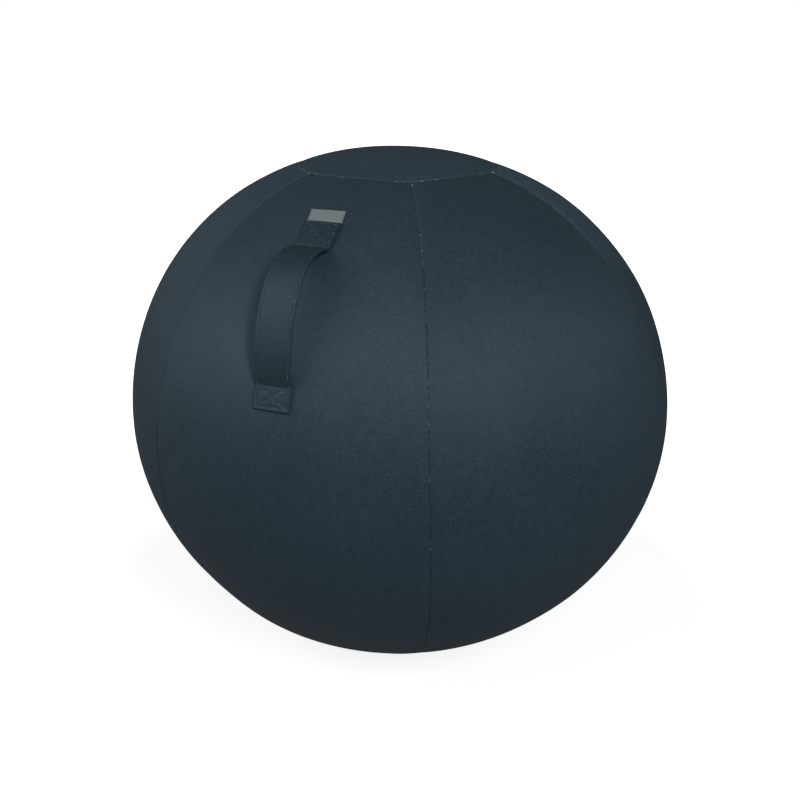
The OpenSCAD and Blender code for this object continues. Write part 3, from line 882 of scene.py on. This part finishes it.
def strap_line():
    """Points (radius, height, share held down by stitching) along the strap, a millimetre apart."""
    rise = STRAP_T / 2 + STRAP_PLAY
    patch_end = HANDLE_FROM - TOP_PATCH / side_r
    low_start = patch_end - GRIP_SPAN / side_r
    low_end = low_start - LOW_PATCH / side_r

    def sewn_down(start, end, count):
        return [(*oval(angle, -rise), 1.0) for angle in evenly(start, end, count)]

    def leaving(place, x, y, angle, reach):
        """The Bezier handle that leaves a place along (x, y), turned by `angle`."""
        return (place[0] + reach * (x * math.cos(angle) - y * math.sin(angle)),
                place[1] + reach * (x * math.sin(angle) + y * math.cos(angle)))

    p0, p3 = oval(patch_end, -rise), oval(low_start, -rise)
    p1 = leaving(p0, math.sin(patch_end), -math.cos(patch_end), LIFT_TOP, REACH_TOP)
    p2 = leaving(p3, -math.sin(low_start), math.cos(low_start), -LIFT_LOW, REACH_LOW)
    free = []
    for t in evenly(0.0, 1.0, 60)[1:-1]:
        weights = ((1 - t) ** 3, 3 * (1 - t) ** 2 * t, 3 * (1 - t) * t * t, t ** 3)
        free.append((*(sum(w * p[c] for w, p in zip(weights, (p0, p1, p2, p3))) for c in (0, 1)), 0.0))
    rough = sewn_down(HANDLE_FROM, patch_end, 12) + free + sewn_down(low_start, low_end, 10)
    return softened(resampled(rough, 0.001), 3)


strap = strap_line()
strap_pitch = sum(math.dist(a[:2], b[:2]) for a, b in zip(strap, strap[1:])) / (len(strap) - 1)
strap_len = strap_pitch * (len(strap) - 1)
stitch_half = STRAP_W / 2 - EDGE_STITCH_IN


def box_and_cross(t0, t1):
    """The stitched box with its two diagonals, as segments in (across, along)."""
    a, b, c, d = (-stitch_half, t0), (stitch_half, t0), (stitch_half, t1), (-stitch_half, t1)
    return [(a, b), (c, d), (a, c), (b, d)]


hem_seams = [((x, END_STITCH_IN), (x, strap_len - END_STITCH_IN)) for x in (-stitch_half, stitch_half)]
box_seams = box_and_cross(END_STITCH_IN, TOP_PATCH - BOX_STITCH_IN)
box_seams += box_and_cross(strap_len - LOW_PATCH + BOX_STITCH_IN, strap_len - END_STITCH_IN)


def distance_to(segment, x, t):
    """How far a place on the strap lies from a line of stitches."""
    (x0, t0), (x1, t1) = segment
    dx, dt = x1 - x0, t1 - t0
    k = max(0.0, min(1.0, ((x - x0) * dx + (t - t0) * dt) / (dx * dx + dt * dt)))
    return math.hypot(x - x0 - k * dx, t - t0 - k * dt)


def strap_frame(t):
    """Radius, height, outward direction and held share of the strap's middle line, `t` metres along it."""
    i = max(0.0, min(len(strap) - 1.001, t / strap_pitch))
    j = int(i)
    k = i - j
    r, z, held = (a + (b - a) * k for a, b in zip(strap[j], strap[j + 1]))
    a, b = strap[max(0, j - 1)], strap[min(len(strap) - 1, j + 2)]
    dr, dz = b[0] - a[0], b[1] - a[1]
    size = math.hypot(dr, dz)
    return r, z, -dz / size, dr / size, held


def strap_at(x, t, lift):
    """A place on the strap, `lift` metres out from its middle."""
    r, z, out_r, out_z, held = strap_frame(t)
    follow = x * x / 2 * abs(out_r) / r * held
    crown = STRAP_CROWN * (1 - held) * (1 - (2 * x / STRAP_W) ** 2)
    off = lift - follow + crown
    return Vector((x, -(r + off * out_r), z + off * out_z))


def strap_half_thickness(x, t):
    """Half the strap's thickness: less at its edges and where stitches press it, uneven elsewhere."""
    pressed = max(press * math.exp(-(distance_to(seam, x, t) / PRESS_SPREAD) ** 2)
                  for seams, press in ((hem_seams, HEM_PRESS), (box_seams, BOX_PRESS)) for seam in seams)
    edge = rounded(min(STRAP_W / 2 - abs(x), t + STRAP_CUT, strap_len - t + STRAP_CUT), STRAP_EDGE_R)
    loft = STRAP_LOFT * noise.noise(Vector((x / 0.011, t / 0.014, 2.2)))
    return STRAP_T / 2 - pressed - edge + loft


def strap_mesh():
    sides = (0.0, 0.00008, 0.0003, 0.0006, 0.0010, 0.0015, 0.0020,
             0.0024, 0.0027, 0.0030, 0.0033, 0.0036, 0.0041)
    ends = (0.0, 0.0001, 0.0003, 0.0006, 0.0009, 0.0012)
    columns = 34
    xs = [x - STRAP_W / 2 for x in steps(STRAP_W, columns, sides)]

    def place(x, t):
        half = strap_half_thickness(x, t)
        return strap_at(x, t, half), strap_at(x, t, -half), (x, -t)

    rows = [[(x, t) for x in xs] for t in steps(strap_len, round(strap_len / 0.0009), ends)]
    return sheet_mesh("strap_band", rows, place)


def strap_stitch_line(segment):
    (x0, t0), (x1, t1) = segment
    count = max(2, round(math.hypot(x1 - x0, t1 - t0) / 0.0015))
    line = []
    for x, t in zip(evenly(x0, x1, count), evenly(t0, t1, count)):
        _, _, out_r, out_z, _ = strap_frame(t)
        line.append((strap_at(x, t, strap_half_thickness(x, t)), Vector((0, -out_r, out_z))))
    return line


def patch_mesh(name, s0, s1, half, lifts, curl=0.0, shear=0.0):
    """A flat patch that lies along the cover in front, between two distances down and two lifts.

    `curl` lifts its upper corners and `shear` moves its upper edge sideways for each metre of height."""
    columns, rows = 40, 22

    def place(x, k):
        s = s0 + (s1 - s0) * k
        r, z, out_r, out_z = meridian(s)
        follow = x * x / 2 * abs(out_r) / r
        rim = min(half - abs(x), (s1 - s0) * min(k, 1 - k))
        thin = rounded(rim, (lifts[1] - lifts[0]) / 2)
        bend = curl * (abs(x) / half) ** 3 * (1 - k) ** 2
        faces = []
        for lift in (lifts[1] - thin, lifts[0] + thin):
            off = lift + bend - follow
            faces.append(Vector((x - shear * (s1 - s), -(r + off * out_r), z + off * out_z)))
        return (*faces, (x, (s0 + s1) / 2 - s))

    entries = [[(x, k) for x in evenly(-half, half, columns)] for k in evenly(0, 1, rows)]
    return sheet_mesh(name, entries, place)


# The inner pieces stand on each other
flat_in_r = flat_r - COVER_T * math.tan(BASE_SLOPE / 2)
ring_z = DOT_H + COVER_T + TOUCH
ring_outer_r = flat_in_r - RING_GAP
ball_z = ring_z + RING_H + TOUCH


def inner_ball_mesh():
    """The inflated ball: it fills the cover above, lies flat on the weight ring and is open at its valve."""
    round_rows, flat_rows, columns = 110, 12, 160
    azimuths = all_round(0, columns)
    start = math.pi / 2 - 0.004
    hole_r = NECK_R + TOUCH

    def skin(inset):
        low = math.asin((ball_z + inset - mid_z - cap_k) / (cap_r - BALL_DEPTH - inset))
        rows, flats = [], []
        for angle in evenly(start, low, round_rows):
            r, z = oval(angle, BALL_DEPTH + inset)
            row = [around(az, r, z) for az in azimuths]
            rows.append([p + towards(az, angle) * swell(p) for p, az in zip(row, azimuths)])
            flats.append([(half_w * az, (angle - start) * half_w) for az in azimuths])
        for share in evenly(0, 1, flat_rows)[1:]:
            rows.append([around(az, r + (hole_r - r) * share, z) for az in azimuths])
            flats.append([(half_w * az, (low - start) * half_w - r * share) for az in azimuths])
        return rows, flats

    outer, flats = skin(0.0)
    inner, _ = skin(BALL_WALL)
    return shell("inflated_ball", outer, inner, flats, wrap=True, poles=("top",))


def ring_section(inset):
    """The ring's section as a closed loop of (radius, height), clockwise from its top outer corner."""
    r0, r1 = RING_INNER_R + inset, ring_outer_r - inset
    z0, z1 = ring_z + inset, ring_z + RING_H - inset
    corner = RING_EDGE - inset
    loop = []
    for cr, cz, start in ((r1 - corner, z1 - corner, 90), (r1 - corner, z0 + corner, 0),
                          (r0 + corner, z0 + corner, -90), (r0 + corner, z1 - corner, -180)):
        for i in range(7):
            a = deg(start - 15 * i)
            loop.append((cr + corner * math.cos(a), cz + corner * math.sin(a)))
    return loop


def ring_casing_mesh():
    """The casing as two closed skins, one inside the other, with small dents in its upper side."""
    columns, pitch = 180, 0.006
    points, uvs, faces = [], [], []
    for inset, flip in ((0.0, False), (RING_WALL, True)):
        section = []
        loop = ring_section(inset)
        for a, b in zip(loop, loop[1:] + loop[:1]):
            count = max(1, round(math.dist(a, b) / pitch))
            section += list(zip(evenly(a[0], b[0], count), evenly(a[1], b[1], count)))[:-1]
        start, n = len(points), len(section)
        for az in all_round(0, columns):
            for j, (r, z) in enumerate(section):
                p = around(az, r, z)
                sink = RING_DENTS * (1 + noise.noise(p / 0.02)) if ring_z + RING_EDGE < z else 0.0
                points.append(p - Vector((0, 0, sink)))
                uvs.append((r * az, j * pitch))
        for k in range(columns):
            for j in range(n):
                a, b = start + k * n + j, start + k * n + (j + 1) % n
                c, d = start + (k + 1) % columns * n + (j + 1) % n, start + (k + 1) % columns * n + j
                faces.append((a, d, c, b) if flip else (a, b, c, d))
    return add_faces("ring_bag", points, uvs, faces)


# The camera, the lamps, the room and the floor
CAMERA_AZ = deg(23.55)
CAMERA_RISE = deg(20.35)
CAMERA_FAR = 1.300
CAMERA_ROLL = deg(-0.23)
LENS_MM = 46.56
SENSOR_MM = 36
BALL_MIDDLE_PX = (399.45, 395.71)
PICTURE_PX = 800
ROOM_LIGHT = 0.112
FLOOR_SIZE = 30.0
FLOOR_LIGHT = 0.31
FLOOR_SEEN = 0.8
FLOOR_GLOW = 1.68
LAMP_FAR = 2.2

# Name, azimuth from the camera's, rise, width, height and watts of each lamp
LAMPS = (
    ("right_front_softbox", deg(20), deg(29), 0.32, 1.0, 25.5),
    ("left_softbox", deg(-79), deg(30), 1.7, 1.3, 14.8),
    ("left_rim_softbox", deg(-104), deg(5), 1.0, 0.7, 1.4),
    ("right_rim_softbox", deg(105), deg(5), 0.9, 0.7, 0.75),
)


def face_ball(name, data, az, rise, far, roll=0.0):
    """Puts a camera or a lamp in the scene, `far` metres from the ball's middle and turned to it."""
    obj = bpy.data.objects.new(name, data)
    scene.collection.objects.link(obj)
    back = towards(az, rise)
    turned = back.to_track_quat("Z", "Y").to_matrix().to_4x4() @ Matrix.Rotation(roll, 4, "Z")
    obj.matrix_world = Matrix.Translation(Vector((0, 0, mid_z)) + back * far) @ turned
    return obj


def place_camera():
    data = bpy.data.cameras.new("photo_camera")
    data.lens = LENS_MM
    data.sensor_width = SENSOR_MM
    data.shift_x = (PICTURE_PX / 2 - BALL_MIDDLE_PX[0]) / PICTURE_PX
    data.shift_y = (BALL_MIDDLE_PX[1] - PICTURE_PX / 2) / PICTURE_PX
    scene.camera = face_ball("photo_camera", data, CAMERA_AZ, CAMERA_RISE, CAMERA_FAR, CAMERA_ROLL)


def place_softbox(name, az, rise, width, height, watts):
    """A rectangular lamp that faces the ball."""
    data = bpy.data.lights.new(name, "AREA")
    data.shape = "RECTANGLE"
    data.size = width
    data.size_y = height
    data.energy = watts
    face_ball(name, data, CAMERA_AZ + az, rise, LAMP_FAR)


def place_world():
    """A dim even room, which the camera sees as white."""
    world = bpy.data.worlds.new("studio")
    scene.world = world
    world.use_nodes = True
    n = Nodes(world.node_tree)
    n.tree.nodes.clear()
    seen = n.node("ShaderNodeLightPath", output="Is Camera Ray")
    seen = seen.math("MAXIMUM", seen.output("Is Transmission Ray"))
    room, white = (n.node("ShaderNodeBackground", {}, {"Color": (1, 1, 1), "Strength": strength})
                   for strength in (ROOM_LIGHT, 1.0))
    mix = n.node("ShaderNodeMixShader", {}, {0: seen, 1: room, 2: white})
    n.join(n.tree.nodes.new("ShaderNodeOutputWorld").inputs["Surface"], mix)


def place_floor():
    """A pale floor that gives back little light, and that the camera sees fade to white."""
    corners = [(x * FLOOR_SIZE, y * FLOOR_SIZE, 0) for x, y in ((-1, -1), (1, -1), (1, 1), (-1, 1))]
    mesh = bpy.data.meshes.new("floor")
    mesh.from_pydata(corners, [], [(0, 1, 2, 3)])
    floor = bpy.data.objects.new("floor", mesh)
    scene.collection.objects.link(floor)
    s = Shader("studio_floor", {"Roughness": 0.9})
    seen = s.node("ShaderNodeLightPath", output="Is Camera Ray")
    s.feed("Base Color", s.node("ShaderNodeMapRange", {},
                                {"Value": seen, "To Min": FLOOR_LIGHT, "To Max": FLOOR_SEEN}))
    far = s.node("ShaderNodeVectorMath", {"operation": "LENGTH"}, {0: s.place()}, output="Value")
    whiter = s.node("ShaderNodeMapRange", {},
                    {"Value": far, "From Min": 0.4, "From Max": 1.1, "To Min": 0.5, "To Max": 1.0})
    glow = s.node("ShaderNodeEmission", {}, {"Strength": FLOOR_GLOW})
    mix = s.node("ShaderNodeMixShader", {}, {0: seen * whiter, 1: Value(s, s.bsdf.outputs[0]), 2: glow})
    s.join(s.tree.nodes["Material Output"].inputs["Surface"], mix)
    mesh.materials.append(s.material)


scene.view_settings.view_transform = "Standard"
place_camera()
place_world()
place_floor()
for lamp in LAMPS:
    place_softbox(*lamp)

# The inner pieces
ball_skin = moulded("ball_skin", (0.26, 0.31, 0.33), 0.42, 500.0, 0.08)
piece("inflated_ball", inner_ball_mesh(), ball_skin, stands_for=("inner_ball",))
casing = piece("ring_bag", ring_casing_mesh(), casing_cloth(), stands_for=("ring_casing",))

# The cover
seam_len = base_s - top_s
side_area = sum(meridian(top_s + seam_len * (i + 0.5) / 200)[0] * turn * seam_len / 200 for i in range(200))
allowance_area = ALLOWANCE_W * (2 * seam_len + TOP_R * turn + zip_r * turn)
side_flat = (half_w * turn + 2 * ALLOWANCE_W, seam_len + 2 * ALLOWANCE_W)
for i in range(PANELS):
    panel = piece(f"side_cloth_{i + 1}", side_panel_mesh(i), panel_cloths[i],
                  stands_for=(f"side_panel_{i + 1}",))
    side_area + allowance_area
top_cut = 2 * (top_s + ALLOWANCE_W)
top = piece("top_cloth", top_panel_mesh(), top_panel_cloth, stands_for=("top_panel",))
math.pi * top_cut ** 2 / 4
base_cut = 2 * (flat_r + SKIRT_W + ALLOWANCE_W)
base = piece("base_cloth_sheet", base_panel_mesh(), base_cloth(), stands_for=("base_panel",))
math.pi * base_cut ** 2 / 4

# The zip's tapes
tape_out = TAPE_GAP / 2 + TAPE_W
tape_len = (zip_end - zip_start) * zip_r + 2 * TAPE_TUCK
tape_cloth = zip_tape_cloth()
for name, low, high in (("upper", TAPE_GAP / 2, tape_out), ("lower", -tape_out, -TAPE_GAP / 2)):
    tape = piece(f"tape_{name}", tape_mesh(f"tape_{name}", low, high), tape_cloth,
                 stands_for=(f"zip_tape_{name}",))

# The handle
band = piece("strap_band", strap_mesh(), strap_cloth, stands_for=("handle_strap",))
label_low = length_to(HANDLE_FROM) - LABEL_GAP
label = piece("label_tab", patch_mesh("label_tab", label_low - LABEL_H, label_low, LABEL_W / 2,
                                      (STRAP_PLAY, STRAP_PLAY + LABEL_T), LABEL_CURL, LABEL_SHEAR),
              label_cloth(), stands_for=("handle_label",))
low_start = HANDLE_FROM - (TOP_PATCH + GRIP_SPAN) / side_r
backing_depth = -(COVER_T + STRAP_PLAY)
for name, first, span in (("upper", HANDLE_FROM, TOP_PATCH), ("lower", low_start, LOW_PATCH)):
    start, end = length_to(first), length_to(first - span / side_r)
    backing = piece(f"backing_{name}",
                    patch_mesh(f"backing_{name}", start - BACKING_EDGE, end + BACKING_EDGE,
                               STRAP_W / 2 + BACKING_EDGE, (backing_depth - BACKING_T, backing_depth)),
                    backing_cloth, stands_for=("handle_backing",))
    end - start + 2 * BACKING_EDGE


# The cover's stitches
def side_seam_line(i):
    """Places along side seam `i`, whose thread lies deeper further down."""
    places = []
    for down in evenly(0.002, seam_len - 0.002, SIDE_LINE_STEPS):
        az = seam_az(i, top_s + down)
        s = from_top_seam(az, down)
        sunk = PROUD_THREAD + (SUNK_THREAD - PROUD_THREAD) * smooth(down, 0.4 * UPPER_SEAM, 1.6 * UPPER_SEAM)
        places.append((az, s, sunk + SEAM_DIP + GATHER * gather_at(i, s)))
    return cover_line(places)


side_lines = [side_seam_line(i) for i in range(PANELS)]
upper = round(SIDE_LINE_STEPS * UPPER_SEAM / seam_len)
upper_lines = [line[:upper + 1] for line in side_lines]
sewn("upper_seam_stitches", upper_lines, painted_highlight_thread, 3, radius=TOP_THREAD_R)
sewn("side_seam_stitches", [line[upper:] for line in side_lines], seam_thread, 4, radius=THREAD_R)
top_line = [(az, top_edge(az), PROUD_THREAD + SEAM_DIP + GATHER * gather_at(TOP_SEAM, az * TOP_R))
            for az in evenly(SEAM_AZ, SEAM_AZ + 2 * math.pi, RING_LINE_STEPS)]
sewn("top_seam_stitches", [cover_line(top_line)], painted_highlight_thread, 5, radius=TOP_THREAD_R)
base_line = [(az, base_s, SUNK_THREAD + SEAM_DIP)
             for az in evenly(zip_end, zip_start + 2 * math.pi, RING_LINE_STEPS)]
sewn("base_seam_stitches", [cover_line(base_line)], seam_thread, 7)
end_gap = 0.01 * (zip_end - zip_start)
fold_azimuths = evenly(zip_start + end_gap, zip_end - end_gap, FOLD_LINE_STEPS)
fold_lines = [cover_line([(az, s, 0.0) for az in fold_azimuths])
              for s in (base_s - WINDOW_W / 2 - FOLD_STITCH_IN, base_s + WINDOW_W / 2 + FOLD_STITCH_IN)]
sewn("zip_fold_stitches", fold_lines, seam_thread, 9, arch=0.0002)
sewn("strap_stitches", [strap_stitch_line(seam) for seam in hem_seams + box_seams], strap_thread, 11,
     pitch=0.0030, length=0.0024, radius=0.00028, arch=0.00024)

# Pieces that keep their CAD shape
teeth = moulded("zip_plastic", (0.018, 0.022, 0.026), 0.40, 1500.0, 0.2)
metal = cast_metal()
finishes = {
    "grip_dots": moulded("grip_rubber", (0.012, 0.015, 0.018), 0.72, 1200.0, 0.35),
    "valve_seat": ball_skin,
    "valve_plug": moulded("plug_plastic", (0.77, 0.78, 0.75), 0.35, 600.0, 0.04),
    "zip_teeth_upper": teeth,
    "zip_teeth_lower": teeth,
    "zip_end_stops": metal,
    "zip_slider": metal,
    "zip_puller": metal,
    "ring_filling": sand(),
}
for name, material in finishes.items():
    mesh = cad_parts[name].data
    mesh.materials.clear()
    mesh.materials.append(material)
